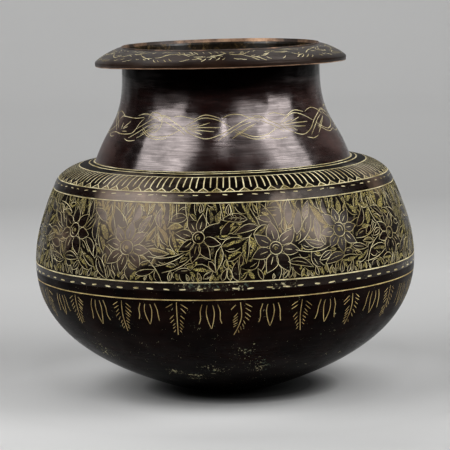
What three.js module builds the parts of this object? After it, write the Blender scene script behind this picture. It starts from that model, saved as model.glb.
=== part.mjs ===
// A round-bellied water pot beaten from sheet metal, with a waisted neck and a broad down-turned rim.
// Millimetres, +Z up. The origin is the centre of the flat that the pot stands on.
import * as THREE from "three";

// Sheet and clearance
const bowlWall = 1.6;
const bellyWall = 1.5;
const neckWall = 1.5;
const collarWall = 1.4;
const seamGap = 0.3;

// Lower bowl, from the flat base round the heel and up to the widest ring
const baseRadius = 22;
const baseSlope = THREE.MathUtils.degToRad(8);
const heelRadius = 46;
const heelRise = 6.6;
const heelSlope = THREE.MathUtils.degToRad(20);
const heelHandle = 9;
const bellyRadius = 126.7;
const bowlHeight = 88;
const bowlReach = 56;
const bowlFullness = 38;

// Belly seam, where the bowl's joggled tongue stands inside the upper belly's edge
const seamBelowWidest = 3.6;
const bellyLap = 7;

// Upper belly, then the rounded shoulder, then the shallow cone that carries the neck
const upperHeight = 53;
const upperFullness = 24;
const shoulderLean = THREE.MathUtils.degToRad(20.5);
const shoulderHandle = 5;
const shoulderRoundWidth = 15.4;
const shoulderRoundRise = 11.2;
const coneHandle = 7;
const coneWidth = 12;
const coneSlope = THREE.MathUtils.degToRad(13);

// Neck, with a skirt that leans in from its foot to a straight throat
const neckFootRadius = 85;
const neckFootLean = THREE.MathUtils.degToRad(19);
const neckFootHandle = 24.5;
const neckHeight = 75.3;
const neckLap = 6;
const throatRadius = 66;
const throatLength = 21.6;
const throatHandle = 28;

// Mouth edge, thinned by a bevel on the inside and rounded on the outside
const mouthBevelHeight = 3.6;
const mouthBevelDepth = 0.6;
const mouthRounding = 0.4;

// Rim collar: an arched ring that rolls over to a short turned-down lip
const collarBelowMouth = 0.7;
const collarWidth = 17.4;
const collarDrop = 7.2;
const collarArch = 5;
const collarRoll = 5;
const collarRollAngle = THREE.MathUtils.degToRad(42);
const lipDepth = 2.8;

// Brazed seams
const bellyBrazeLeg = 2.4;
const neckBrazeLeg = 2.2;
const rimBrazeLeg = 2.6;

// Facets round the axis, and steps along each curve
const facetsRound = 56;
const heelSteps = 3;
const bowlSteps = 9;
const upperSteps = 6;
const shoulderSteps = 4;
const neckSteps = 8;
const collarSteps = 5;

// Points of an outline closer together than this, in height, become one
const mergeHeight = 0.05;

const at = (radius, height) => new THREE.Vector2(radius, height);

// The point that lies a length away, at an angle from straight out towards straight up
function along(start, angle, length) {
  return at(start.x + length * Math.cos(angle), start.y + length * Math.sin(angle));
}

// Radius of a rising outline at a height, carried on straight past its ends
function radiusAt(points, height) {
  const found = points.findIndex((p, i) => i > 0 && height <= p.y);
  const upper = found > 0 ? found : points.length - 1;
  const below = points[upper - 1];
  const above = points[upper];
  return below.x + ((height - below.y) / (above.y - below.y)) * (above.x - below.x);
}

// The stretch of a rising outline between two heights, with an exact point at each end
function between(points, low, high) {
  const inner = points.filter((p) => p.y > low + mergeHeight && p.y < high - mergeHeight);
  return [at(radiusAt(points, low), low), ...inner, at(radiusAt(points, high), high)];
}

// The same outline moved square to itself, inwards where it rises and the distance is positive
function offset(points, distance) {
  return points.map((p, i) => {
    const before = points[Math.max(i - 1, 0)];
    const after = points[Math.min(i + 1, points.length - 1)];
    const run = after.clone().sub(before).normalize();
    return at(p.x - run.y * distance, p.y + run.x * distance);
  });
}

// The same outline drawn in towards the axis
function inset(points, distance) {
  return points.map((p) => at(p.x - distance, p.y));
}

function reversed(points) {
  return [...points].reverse();
}

// A closed section turned round the pot's axis
function turned(name, section, material) {
  const profile = section[0].x === 0 ? section : [...section, section[0]];
  const geometry = new THREE.LatheGeometry(profile, facetsRound);
  geometry.rotateX(Math.PI / 2);
  const mesh = new THREE.Mesh(geometry, material);
  mesh.name = name;
  return mesh;
}

const darkMetal = new THREE.MeshStandardMaterial({ color: 0x2a1a18, roughness: 0.38, metalness: 0.85 });
const wornMetal = new THREE.MeshStandardMaterial({ color: 0x4a3122, roughness: 0.42, metalness: 0.85 });
const brazeMetal = new THREE.MeshStandardMaterial({ color: 0x8a6a30, roughness: 0.5, metalness: 0.85 });

// The outside of the belly, from the edge of the base flat to the top of the shoulder's rounding
const shoulderFlatRadius = neckFootRadius + coneWidth;
const baseEdge = at(baseRadius, 0);
const heel = at(heelRadius, heelRise);
const widest = at(bellyRadius, bowlHeight);
const shoulderBreak = at(shoulderFlatRadius + shoulderRoundWidth, bowlHeight + upperHeight);
const shoulderFlat = at(shoulderFlatRadius, shoulderBreak.y + shoulderRoundRise);
const heelCurve = new THREE.CubicBezierCurve(
  baseEdge,
  along(baseEdge, baseSlope, heelHandle),
  along(heel, heelSlope + Math.PI, heelHandle),
  heel,
);
const bowlCurve = new THREE.CubicBezierCurve(
  heel,
  along(heel, heelSlope, bowlReach),
  at(bellyRadius, bowlHeight - bowlFullness),
  widest,
);
const upperCurve = new THREE.CubicBezierCurve(
  widest,
  at(bellyRadius, bowlHeight + upperFullness),
  along(shoulderBreak, shoulderLean - Math.PI / 2, shoulderHandle),
  shoulderBreak,
);
const shoulderCurve = new THREE.CubicBezierCurve(
  shoulderBreak,
  along(shoulderBreak, shoulderLean + Math.PI / 2, shoulderHandle),
  along(shoulderFlat, -coneSlope, coneHandle),
  shoulderFlat,
);
const bellyOutside = [
  ...heelCurve.getPoints(heelSteps),
  ...bowlCurve.getPoints(bowlSteps).slice(1),
  ...upperCurve.getPoints(upperSteps).slice(1),
  ...shoulderCurve.getPoints(shoulderSteps).slice(1),
];
const seamHeight = bowlHeight - seamBelowWidest;

// Height of the shoulder's cone at a radius
function coneHeightAt(radius) {
  return shoulderFlat.y + (shoulderFlat.x - radius) * Math.tan(coneSlope);
}

// The outside of the neck, from its foot on the shoulder to the mouth
const neckFoot = at(neckFootRadius, coneHeightAt(neckFootRadius) + seamGap);
const mouthHeight = neckFoot.y + neckHeight;
const throat = at(throatRadius, mouthHeight - throatLength);
const neckCurve = new THREE.CubicBezierCurve(
  neckFoot,
  along(neckFoot, neckFootLean + Math.PI / 2, neckFootHandle),
  at(throatRadius, throat.y - throatHandle),
  throat,
);
const neckOutside = [...neckCurve.getPoints(neckSteps), at(throatRadius, mouthHeight)];

// The top and underside of the rim collar, from its inner edge to its outer arris
const collarEdge = at(throatRadius + seamGap, mouthHeight - collarBelowMouth);
const rimArris = at(collarEdge.x + collarWidth, collarEdge.y - collarDrop);
const collarCurve = new THREE.CubicBezierCurve(
  collarEdge,
  at(collarEdge.x + collarArch, collarEdge.y - collarBelowMouth / 2),
  along(rimArris, Math.PI - collarRollAngle, collarRoll),
  rimArris,
);
const collarTop = collarCurve.getPoints(collarSteps);
const collarUnder = offset(collarTop, -collarWall);
collarUnder[0] = at(collarEdge.x, collarEdge.y - collarWall);
collarUnder[collarSteps] = at(rimArris.x - collarWall, rimArris.y - collarWall);

// Lower bowl, with the tongue that stands inside the upper belly
function lowerBowl() {
  const ledge = seamHeight - seamGap;
  const tongueFace = inset(between(bellyOutside, ledge, seamHeight + bellyLap), bellyWall + seamGap);
  const tongueBack = inset(tongueFace, bowlWall);
  tongueBack[0].y = ledge - bowlWall;
  const outside = between(bellyOutside, 0, ledge);
  const inside = offset(outside, bowlWall).filter((p) => p.y < ledge - 2 * bowlWall);
  return turned(
    "lower_bowl",
    [at(0, 0), ...outside, ...tongueFace, ...reversed(tongueBack), ...reversed(inside), at(0, bowlWall)],
    darkMetal,
  );
}

// Upper belly and shoulder, with the collar that stands up inside the neck's foot
function upperBelly() {
  const outside = between(bellyOutside, seamHeight, shoulderFlat.y);
  const inside = offset(outside, bellyWall);
  inside[0] = at(outside[0].x - bellyWall, seamHeight);
  const collarFace = inset(between(neckOutside, neckFoot.y, neckFoot.y + neckLap), neckWall + seamGap);
  collarFace[0].y = coneHeightAt(collarFace[0].x);
  const collarBack = inset(collarFace, bellyWall);
  collarBack[0].y = coneHeightAt(collarBack[0].x) - bellyWall;
  return turned(
    "upper_belly",
    [...outside, ...collarFace, ...reversed(collarBack), ...reversed(inside)],
    darkMetal,
  );
}

// Neck, with its foot bevelled to the shoulder
function neck() {
  const outside = between(neckOutside, neckFoot.y, mouthHeight - mouthRounding);
  const inside = inset(between(neckOutside, neckFoot.y, mouthHeight - mouthBevelHeight), neckWall);
  inside[0].y = coneHeightAt(inside[0].x) + seamGap;
  const mouthEdge = [
    at(throatRadius - mouthRounding, mouthHeight),
    at(throatRadius - neckWall + mouthBevelDepth, mouthHeight),
  ];
  return turned("neck", [...outside, ...mouthEdge, ...reversed(inside)], darkMetal);
}

function rimCollar() {
  const lipBottom = rimArris.y - lipDepth;
  const lip = [at(rimArris.x - collarWall, lipBottom), at(rimArris.x, lipBottom)];
  return turned("rim_collar", [...collarUnder, ...lip, ...reversed(collarTop)], wornMetal);
}

// A bead of brazing metal on the top edge of an inner lap, against the inside of the outer sheet
function innerBead(name, outside, wall, lapTop, leg) {
  const low = lapTop + seamGap;
  const corner = at(radiusAt(outside, low) - wall - seamGap, low);
  const top = at(radiusAt(outside, low + leg) - wall - seamGap, low + leg);
  const inner = at(corner.x - leg, low);
  return turned(name, [corner, top, inner], brazeMetal);
}

// The bead of brazing metal under the rim collar, against the outside of the neck
function rimBraze() {
  const [edge, next] = collarUnder;
  const slope = (next.y - edge.y) / (next.x - edge.x);
  const top = at(edge.x, edge.y - seamGap);
  const outer = at(top.x + rimBrazeLeg, top.y + slope * rimBrazeLeg);
  const bottom = at(top.x, top.y - rimBrazeLeg);
  return turned("rim_braze", [bottom, outer, top], brazeMetal);
}

const group = new THREE.Group();
group.add(
  lowerBowl(),
  upperBelly(),
  neck(),
  rimCollar(),
  innerBead("belly_braze", bellyOutside, bellyWall, seamHeight + bellyLap, bellyBrazeLeg),
  innerBead("neck_braze", neckOutside, neckWall, neckFoot.y + neckLap, neckBrazeLeg),
  rimBraze(),
);

export default group;
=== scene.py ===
import itertools
import math

import bpy
import numpy as np
from mathutils import Matrix, Vector
from mathutils.geometry import delaunay_2d_cdt


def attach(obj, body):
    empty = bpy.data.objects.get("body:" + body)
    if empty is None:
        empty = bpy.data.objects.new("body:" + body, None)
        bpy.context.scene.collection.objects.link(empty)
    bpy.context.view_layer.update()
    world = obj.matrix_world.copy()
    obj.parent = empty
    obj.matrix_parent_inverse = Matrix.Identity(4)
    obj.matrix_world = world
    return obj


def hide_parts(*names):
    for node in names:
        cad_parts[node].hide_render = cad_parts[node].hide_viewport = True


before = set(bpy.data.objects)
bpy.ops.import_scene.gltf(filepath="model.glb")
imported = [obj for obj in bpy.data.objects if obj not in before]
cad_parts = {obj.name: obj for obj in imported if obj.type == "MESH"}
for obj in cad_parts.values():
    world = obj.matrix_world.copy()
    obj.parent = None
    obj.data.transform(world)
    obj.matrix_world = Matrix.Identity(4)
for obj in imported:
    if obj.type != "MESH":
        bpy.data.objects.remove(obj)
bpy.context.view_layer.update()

# A dark patinated water pot: beaten sheet pieces with engraved lines cut into the mesh.
# Millimetres until a mesh is made. An angle of 0 faces the camera, along -Y, and grows to the right.

MM = 0.001
TAU = 2 * math.pi
# Steps round the axis
COLUMNS = 256
# Depth of a groove, and the shares of the skin's normal and of the sideways lean in its walls' normals
CUT_DEPTH = 0.22
WALL_UP, WALL_OUT = 0.84, 0.54
# Labels of faces, which are also the material slots of each piece
PATINA, CUT, GROUND, WORN, INSIDE, BLACK = range(6)

# Sizes of the pot as in the CAD, with places as radius and height
BASE = (22, 0)
HEEL = (46, 6.6)
WIDEST = (126.7, 88)
SHOULDER_BREAK = (112.4, 141)
SHOULDER_FLAT = (97, 152.2)
CONE = math.tan(math.radians(13))
THROAT = (66, 208.97)
MOUTH = 230.57
SEAM = 84.4
BOWL_WALL, BELLY_WALL, NECK_WALL, COLLAR_WALL = 1.6, 1.5, 1.5, 1.4
# An inner lap's distance inside the outer sheet's skin, which is its wall and a hair
TONGUE_INSET, COLLAR_INSET = 1.56, 1.55
RIM_EDGE, RIM_ARRIS = (66.03, 229.87), (83.7, 222.67)

# Heights of the rings, rows and bands, and then radii of the rings on the shoulder
PENDANT_RING, LOW_DASHES, FLORAL_LOW, FLORAL_HIGH = 78.9, 85.6, 89.86, 138.4
GARLAND, GARLAND_LOW, GARLAND_HIGH = 181.2, 164, 197
FLUTE_LOW, FLUTE_HIGH, SHOULDER_RING, FOOT_RING = 109.9, 95.7, 89.3, 85.9
# Counts round the pot
FLUTES, PENDANTS, FLOWERS, GARLANDS, LOW_DASH_COUNT, HIGH_DASH_COUNT = 78, 20, 16, 7, 74, 75


# Outlines

def bezier(p0, p1, p2, p3, steps=160):
    u = np.linspace(0, 1, steps + 1)[:, None]
    a, b, c, d = (np.asarray(p, float) for p in (p0, p1, p2, p3))
    return (1 - u) ** 3 * a + 3 * (1 - u) ** 2 * u * b + 3 * (1 - u) * u * u * c + u ** 3 * d


def polar(start, degrees, length):
    a = math.radians(degrees)
    return (start[0] + length * math.cos(a), start[1] + length * math.sin(a))


def joined(*parts):
    rows = [np.asarray(parts[0], float)]
    for part in parts[1:]:
        part = np.asarray(part, float)
        rows.append(part[1:] if np.allclose(part[0], rows[-1][-1], atol=1e-6) else part)
    return np.vstack(rows)


def straight(a, b, step=0.5):
    return np.linspace(a, b, max(int(math.dist(a, b) / step), 1) + 1)


def arc(center, radius, a0, a1, steps):
    a = np.radians(np.linspace(a0, a1, steps + 1))
    return np.column_stack([center[0] + radius * np.cos(a), center[1] + radius * np.sin(a)])


def unit(rows):
    return rows / np.linalg.norm(rows, axis=1)[:, None]


def left_of(run):
    return np.column_stack([-run[:, 1], run[:, 0]])


def offset(points, distance):
    """The outline moved towards its left by a distance, as seen along it."""
    return points + left_of(unit(np.gradient(points, axis=0))) * distance


def clipped(points, low, high):
    """The stretch of a rising outline between two heights."""
    keep = points[(points[:, 1] > low + 0.02) & (points[:, 1] < high - 0.02)]
    ends = [(np.interp(z, points[:, 1], points[:, 0]), z) for z in (low, high)]
    return np.vstack([ends[0], keep, ends[1]])


class Path:
    """An outline of radius and height, measured by its length."""

    def __init__(self, points):
        self.points = np.asarray(points, float)
        self.s = np.concatenate([[0], np.cumsum(np.linalg.norm(np.diff(self.points, axis=0), axis=1))])
        self.length = self.s[-1]

    def at(self, t):
        return np.interp(t, self.s, self.points[:, 0]), np.interp(t, self.s, self.points[:, 1])

    def at_height(self, z):
        k = max(int(np.argmax(self.points[:, 1] >= z - 1e-9)), 1)
        z0, z1 = self.points[k - 1, 1], self.points[k, 1]
        share = 0 if z1 == z0 else (z - z0) / (z1 - z0)
        return self.s[k - 1] + share * (self.s[k] - self.s[k - 1])

    def at_radius(self, r, after):
        """The place past a length where a narrowing outline has a radius."""
        keep = self.s >= after
        return float(np.interp(-r, -self.points[keep, 0], self.s[keep]))


# Hand-made unevenness, the same for every piece so that seams still meet: slanting waves, an oval and a
# three-sided share, a lifted front of the rim, and drooping sides of it
WAVE_SIZE, OVAL, THREE_SIDED = 0.055, 0.16, 0.1
RIM_LIFT, LEFT_DROOP, RIGHT_DROOP = 0.55, 2.3, 1.4


def beaten_waves(count=16, seed=11):
    """The number round the pot, the pitch, the phase and the size of each wave."""
    rng = np.random.default_rng(seed)
    for _ in range(count):
        waves = int(rng.integers(7, 34))
        pitch = rng.uniform(-0.26, 0.26)
        yield waves, pitch, rng.uniform(0, TAU), 0.5 / math.sqrt(waves * waves / 400 + 1)


WAVES = list(beaten_waves())


def grown(value, start, width):
    return np.clip((value - start) / width, 0, 1)


def uneven(theta, r, z):
    """Radial and vertical departure from the turned shape."""
    slant = z + 0.35 * (130 - r)
    total = np.zeros_like(theta)
    for waves, pitch, phase, size in WAVES:
        total += size * np.sin(waves * theta + pitch * slant + phase)
    total *= WAVE_SIZE
    total += OVAL * np.sin(2 * theta + 0.8) + THREE_SIDED * np.sin(3 * theta - 1.1 + z / 60)
    fade = grown(r, 0, 30)
    dz = -0.35 * total * fade * grown(z, 135, 20)
    dz += grown(z, 205, 25) * (RIM_LIFT * np.cos(theta))
    side = np.abs(np.sin(theta)) ** 3
    dz -= grown(r, 66, 18) * grown(z, 215, 3) * side * np.where(theta < 0, LEFT_DROOP, RIGHT_DROOP)
    return total * fade, dz


def surface(path, theta, t):
    r, z = path.at(t)
    dr, dz = uneven(theta, r, z)
    r = r + dr
    return np.column_stack([r * np.sin(theta), -r * np.cos(theta), z + dz])


def directions(path, theta, t, turn_step=0.004, path_step=0.45):
    """Unit normal and the two unit tangents, round the axis and along the outline."""
    low, high = (np.clip(t + way * path_step, 0, path.length) for way in (-1, 1))
    around = surface(path, theta + turn_step, t) - surface(path, theta - turn_step, t)
    on_axis = np.linalg.norm(around, axis=1) < 1e-9
    around[on_axis] = np.column_stack([np.cos(theta[on_axis]), np.sin(theta[on_axis]), 0 * theta[on_axis]])
    around = unit(around)
    along = unit(surface(path, theta, high) - surface(path, theta, low))
    return unit(np.cross(around, along)), around, along


class Shell:
    """A closed piece of sheet, made of bands that share their border points."""

    def __init__(self):
        self.points = []
        self.shared = {}
        self.bands = []
        self.cursor = 0.0

    def index(self, point):
        """The number of a border point, one for all that lie within about two micrometres."""
        a, b, c = (round(float(v) * 1000) for v in point)
        for i, j, k in itertools.product((0, -1, 1), repeat=3):
            if (a + i, b + j, c + k) in self.shared:
                return self.shared[a + i, b + j, c + k]
        self.shared[a, b, c] = len(self.points)
        self.points.append(point)
        return self.shared[a, b, c]

    def band(self, path, theta, t, tris, labels, border, depth=0.0, leans=None):
        """Adds triangles whose corners are places on a path. leans are the ways that groove walls lean."""
        normal, around, along = directions(path, theta, t)
        ids = []
        for point, shared in zip(surface(path, theta, t) - normal * np.reshape(depth, (-1, 1)), border):
            if shared:
                ids.append(self.index(point))
            else:
                ids.append(len(self.points))
                self.points.append(point)
        corner = normal[tris]
        if leans is not None:
            wall = np.hypot(leans[:, 0], leans[:, 1]) > 0
            side = around[tris] * leans[:, None, 0:1] + along[tris] * leans[:, None, 1:2]
            corner[wall] = corner[wall] * WALL_UP + side[wall] * WALL_OUT
        places = np.dstack([theta[tris], t[tris] - t.min() + self.cursor])
        self.bands.append((np.array(ids)[tris], labels, corner, places))
        self.cursor += t.max() - t.min()

    def plain(self, path, t0=0.0, t1=None, step=4.0, label=PATINA):
        """A band of plain sheet."""
        t1 = path.length if t1 is None else t1
        rows = max(int(round(abs(t1 - t0) / step)), 1)
        cols = COLUMNS + 1
        theta, t = np.meshgrid(np.linspace(-math.pi, math.pi, cols), np.linspace(t0, t1, rows + 1))
        a = np.arange(rows)[:, None] * cols + np.arange(COLUMNS)[None, :]
        b, c, d = a + 1, a + 1 + cols, a + cols
        tris = np.concatenate([np.dstack([a, b, c]).reshape(-1, 3), np.dstack([a, c, d]).reshape(-1, 3)])
        border = np.ones(theta.shape, bool)
        border[1:-1, 1:-1] = False
        self.band(path, theta.ravel(), t.ravel(), tris, np.full(len(tris), label), border.ravel())

    def make(self, name, materials):
        tris, labels, normals, places = (np.concatenate(rows) for rows in zip(*self.bands))
        good = (tris[:, 0] != tris[:, 1]) & (tris[:, 1] != tris[:, 2]) & (tris[:, 0] != tris[:, 2])
        tris, labels, normals, places = tris[good], labels[good], normals[good], places[good]
        mesh = bpy.data.meshes.new(name)
        mesh.vertices.add(len(self.points))
        mesh.vertices.foreach_set("co", (np.array(self.points) * MM).ravel())
        mesh.loops.add(tris.size)
        mesh.loops.foreach_set("vertex_index", tris.ravel())
        mesh.polygons.add(len(tris))
        for material in materials:
            mesh.materials.append(material)
        for key, values in (("loop_start", np.arange(len(tris)) * 3), ("loop_total", np.full(len(tris), 3)),
                            ("use_smooth", np.ones(len(tris), bool)), ("material_index", labels)):
            mesh.polygons.foreach_set(key, values)
        mesh.update(calc_edges=True)
        half = (places[:, :, 0].mean(axis=1) > 0).astype(float)[:, None]
        u = (places[:, :, 0] + math.pi * (1 - half)) / math.pi
        v = places[:, :, 1] / self.cursor
        layer = mesh.uv_layers.new(name="OFBake")
        layer.data.foreach_set("uv", np.dstack([0.01 + 0.98 * u, 0.5 * half + 0.005 + 0.49 * v]).ravel())
        mesh.normals_split_custom_set(normals.reshape(-1, 3).tolist())
        return linked(name, mesh)


def linked(name, data):
    made = bpy.data.objects.new(name, data)
    bpy.context.scene.collection.objects.link(made)
    return made


# Engraving

def smooth(points, step=1.3):
    """A curve through a few points, with a point about every step."""
    p = np.asarray(points, float)
    if len(p) == 2:
        return np.linspace(p[0], p[1], max(int(round(math.dist(p[0], p[1]) / step)), 2) + 1)
    ghost = np.vstack([2 * p[0] - p[1], p, 2 * p[-1] - p[-2]])
    out = []
    for k in range(1, len(ghost) - 2):
        a, b, c, d = ghost[k - 1:k + 3]
        n = max(int(round(np.linalg.norm(c - b) / step)), 1)
        u = np.linspace(0, 1, n + 1)[:-1, None]
        out.append(0.5 * ((2 * b) + (c - a) * u + (2 * a - 5 * b + 4 * c - d) * u * u
                          + (3 * b - a - 3 * c + d) * u ** 3))
    return np.vstack(out + [p[-1:]])


class Engraving:
    """Ornament on one band. x runs round the pot at a reference radius, and y along the outline."""

    def __init__(self, path, low, high, ref):
        self.path, self.low, self.high, self.ref = path, low, high, ref
        self.edge = math.pi * ref
        self.points = []
        self.faces = []
        self.kinds = []
        self.walls = []

    def place(self, k, count):
        return (k / count * TAU - math.pi) * self.ref

    def add_points(self, points):
        first = len(self.points)
        self.points.extend(map(tuple, points))
        return first

    def kept_in(self, p):
        p = np.array(p, float)
        p[:, 0] = np.clip(p[:, 0], -self.edge + 0.4, self.edge - 0.4)
        p[:, 1] = np.clip(p[:, 1], self.low + 0.25, self.high - 0.25)
        return p

    def line(self, points, half, tips=(0.45, 0.45), depth=CUT_DEPTH, ring=False):
        """A cut line: two rows of quads that share a sunk middle row."""
        p = np.asarray(points, float)
        if not ring:
            p = self.kept_in(p)
            p = p[np.concatenate([[True], np.linalg.norm(np.diff(p, axis=0), axis=1) > 0.05])]
        if len(p) < 2:
            return
        run = np.gradient(p, axis=0)
        if ring:
            run[0] = run[-1] = (1, 0)
        side = left_of(unit(run))
        u = np.linspace(0, 1, len(p))
        width = np.full(len(p), half)
        if not ring:
            swell, fall = (np.sin(np.clip(v * 0.5 / 0.35, 0, 0.5) * math.pi) for v in (u, 1 - u))
            width = half * (tips[0] + (1 - tips[0]) * swell) * (tips[1] + (1 - tips[1]) * fall)
            width = np.maximum(width, 0.3 * half)
        deep = depth * width / half
        right, left = p - side * width[:, None], p + side * width[:, None]
        if not ring:
            deep[0] = deep[-1] = 0.0
            right, left = self.kept_in(right), self.kept_in(left)
        rows = [self.add_points(row) for row in (right, p, left)]
        for k in range(len(p) - 1):
            for low, high, lean in ((rows[0], rows[1], 1), (rows[1], rows[2], -1)):
                self.faces.append([low + k, low + k + 1, high + k + 1, high + k])
                self.kinds.append(CUT)
                way = side[k] + side[k + 1]
                way = way / max(np.linalg.norm(way), 1e-9) * lean
                self.walls.append((*p[k], *p[k + 1], width[k], width[k + 1], deep[k], deep[k + 1], *way))

    def ring(self, y, half, wobble, seed):
        rng = np.random.default_rng(seed)
        x = np.linspace(-self.edge, self.edge, COLUMNS + 1)
        shift = sum(wobble / n * np.sin(n * (x / self.ref) + rng.uniform(0, TAU)) for n in (2, 3, 5, 9, 14))
        shift[-1] = shift[0]
        self.line(np.column_stack([x, y + shift]), half, ring=True)

    def patch(self, outline, kind):
        p = self.kept_in(outline)
        area = np.sum(p[:, 0] * np.roll(p[:, 1], -1) - np.roll(p[:, 0], -1) * p[:, 1])
        if abs(area) < 0.2:
            return
        first = self.add_points(p if area > 0 else p[::-1])
        self.faces.append(list(range(first, first + len(p))))
        self.kinds.append(kind)
        self.walls.append((0.0,) * 10)

    def blacken(self, low, high):
        span = np.linspace(-self.edge + 0.45, self.edge - 0.45, COLUMNS)
        self.patch(np.vstack([np.column_stack([span, 0 * span + low]),
                              np.column_stack([span[::-1], 0 * span + high])]), BLACK)

    def add_frame(self, step):
        """Points along the band's borders, with their edges, and a loose grid of points between them."""
        edges = []
        around = np.linspace(-math.pi, math.pi, COLUMNS + 1) * self.ref
        n = max(int((self.high - self.low) / step), 1)
        ys = np.linspace(self.low, self.high, n + 1)
        borders = [[(x, y) for x in around] for y in (self.low, self.high)]
        borders += [[(x, y) for y in ys] for x in (-self.edge, self.edge)]
        for points in borders:
            first = self.add_points(points)
            edges += [(first + k, first + k + 1) for k in range(len(points) - 1)]
        across = int(2 * self.edge / step)
        for j, y in enumerate(ys[1:-1]):
            shift = 0.25 + 0.5 * (j % 2)
            self.add_points([(-self.edge + (k + shift) * 2 * self.edge / across, y) for k in range(across)])
        return edges

    def build(self, shell, step=4.0):
        """Triangulates the band round its lines and patches, sinks the lines and hands it to the shell."""
        edges = self.add_frame(step)
        out = delaunay_2d_cdt([Vector(p) for p in self.points], edges, self.faces, 0, 1e-5, True)
        xy = np.array([tuple(v) for v in out[0]])
        tris = np.array(out[2], int)
        walls = np.array(self.walls)
        labels = np.full(len(tris), PATINA)
        leans = np.zeros((len(tris), 2))
        corners, sources = [], []
        for k, faces in enumerate(out[5]):
            cuts = [face for face in faces if self.kinds[face] == CUT]
            if cuts:
                labels[k] = CUT
                leans[k] = walls[cuts[-1], 8:10]
                corners.extend(np.tile(tris[k], len(cuts)))
                sources.extend(np.repeat(cuts, 3))
            elif faces:
                labels[k] = self.kinds[max(faces)]
        depth = np.zeros(len(xy))
        v, w = np.array(corners), walls[np.array(sources)]
        a, b = w[:, 0:2], w[:, 2:4]
        ab = b - a
        share = np.clip(np.sum((xy[v] - a) * ab, axis=1) / np.maximum(np.sum(ab * ab, axis=1), 1e-12), 0, 1)
        away = np.linalg.norm(xy[v] - (a + ab * share[:, None]), axis=1)
        wide = w[:, 4] + (w[:, 5] - w[:, 4]) * share
        deep = w[:, 6] + (w[:, 7] - w[:, 6]) * share
        np.maximum.at(depth, v, deep * np.clip(1 - away / wide, 0, 1))
        p0, p1, p2 = xy[tris[:, 0]], xy[tris[:, 1]], xy[tris[:, 2]]
        area = (p1[:, 0] - p0[:, 0]) * (p2[:, 1] - p0[:, 1]) - (p2[:, 0] - p0[:, 0]) * (p1[:, 1] - p0[:, 1])
        tris[area < 0] = tris[area < 0][:, ::-1]
        solid = np.abs(area) > 1e-9
        x, y = xy[:, 0], xy[:, 1]
        on_seam = np.abs(np.abs(x) - self.edge) < 1e-4
        border = on_seam | (np.abs(y - self.low) < 1e-4) | (np.abs(y - self.high) < 1e-4)
        x = np.where(on_seam, np.sign(x) * self.edge, x)
        shell.band(self.path, x / self.ref, y, tris[solid], labels[solid], border, depth, leans[solid])


def turn(points, angle, at):
    c, s = math.cos(angle), math.sin(angle)
    p = np.asarray(points, float)
    return np.column_stack([at[0] + p[:, 0] * c - p[:, 1] * s, at[1] + p[:, 0] * s + p[:, 1] * c])


def leaf_sides(length, width, bend, points):
    """The two long sides and the middle of a pointed leaf that starts at the origin and runs along x."""
    u = np.linspace(0, 1, points + 1)
    half = 0.5 * width * np.sin(math.pi * u ** 0.8) ** 0.85
    half[0] = half[-1] = 0.0
    mid = bend * np.sin(math.pi * u)
    return [np.column_stack([u * length, mid + way * half]) for way in (1, -1, 0)]


def closed(upper, lower):
    return np.vstack([lower, upper[::-1][1:-1]])


def leaf(work, at, angle, length, width, bend, vein, ticks=0, points=5, half=0.16):
    """A dark leaf between two cut sides, with a vein along a share of it and ticks beside that."""
    upper, lower, mid = (turn(side, angle, at) for side in leaf_sides(length, width, bend, points))
    work.patch(closed(upper, lower), PATINA)
    work.line(upper, half)
    work.line(lower, half)
    if not vein:
        return
    first, last = 0.12, 0.12 + vein * 0.8
    u = np.linspace(first, last, 4)
    steps = np.linspace(0, length, len(mid))
    work.line(np.column_stack([np.interp(u * length, steps, mid[:, i]) for i in (0, 1)]), half * 0.8)
    for k in range(ticks):
        s = first + (k + 0.6) * (last - first) / (ticks + 0.4)
        reach = 0.28 * width * math.sin(math.pi * s ** 0.8)
        for way in (-1, 1):
            root = (s * length, bend * math.sin(math.pi * s) + way * 0.3)
            end = (s * length + reach * 0.9, root[1] + way * reach)
            work.line(turn(smooth([root, end], 0.8), angle, at), half * 0.6, depth=0.12)


# The ornament, band by band

def hand(rng, size):
    return rng.uniform(-size, size)


def dash_row(work, y, count, length, half, seed):
    rng = np.random.default_rng(seed)
    for k in range(count):
        x = work.place(k + 0.5, count) + hand(rng, 0.9)
        reach = length * rng.uniform(0.82, 1.12) / 2
        tilt = hand(rng, 0.3)
        mid = y + hand(rng, 0.25)
        points = np.linspace((x - reach, mid - tilt), (x + reach, mid + tilt), 5)
        work.line(points, half * rng.uniform(0.85, 1.1), (0.6, 0.6))


def flutes(work, y_top, y_low, seed=5):
    """Tongues between radial lines: every second line forks to the border, and the others stop short."""
    rng = np.random.default_rng(seed)
    pitch = TAU * work.ref / FLUTES
    work.blacken(y_low, y_top)
    for k in range(FLUTES):
        x = -work.edge + (k + 0.5) * pitch + hand(rng, 0.25)
        lean = hand(rng, 0.35)
        fork = (x + lean, y_low + 3.1 + hand(rng, 0.4))
        work.line(smooth([(x, y_top + 0.1), fork], 2.2), 0.4, (1, 0.9))
        for way in (-1, 1):
            foot = (fork[0] + way * pitch * 0.36, y_low + 0.3)
            mid = (fork[0] + way * pitch * 0.14, (fork[1] + foot[1]) / 2 + 0.35)
            work.line(smooth([fork, mid, foot], 1.0), 0.34, (0.9, 0.8))
        work.patch([(fork[0], fork[1] - 1.1), (fork[0] - pitch * 0.2, y_low + 0.45),
                    (fork[0] + pitch * 0.2, y_low + 0.45)], GROUND)
        xm = x + pitch / 2 + hand(rng, 0.25)
        if xm < work.edge - 0.6:
            end = (xm + hand(rng, 0.35), y_low + 3.6 + hand(rng, 0.5))
            work.line(smooth([(xm, y_top + 0.1), end], 2.2), 0.4, (1, 0.75))


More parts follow.
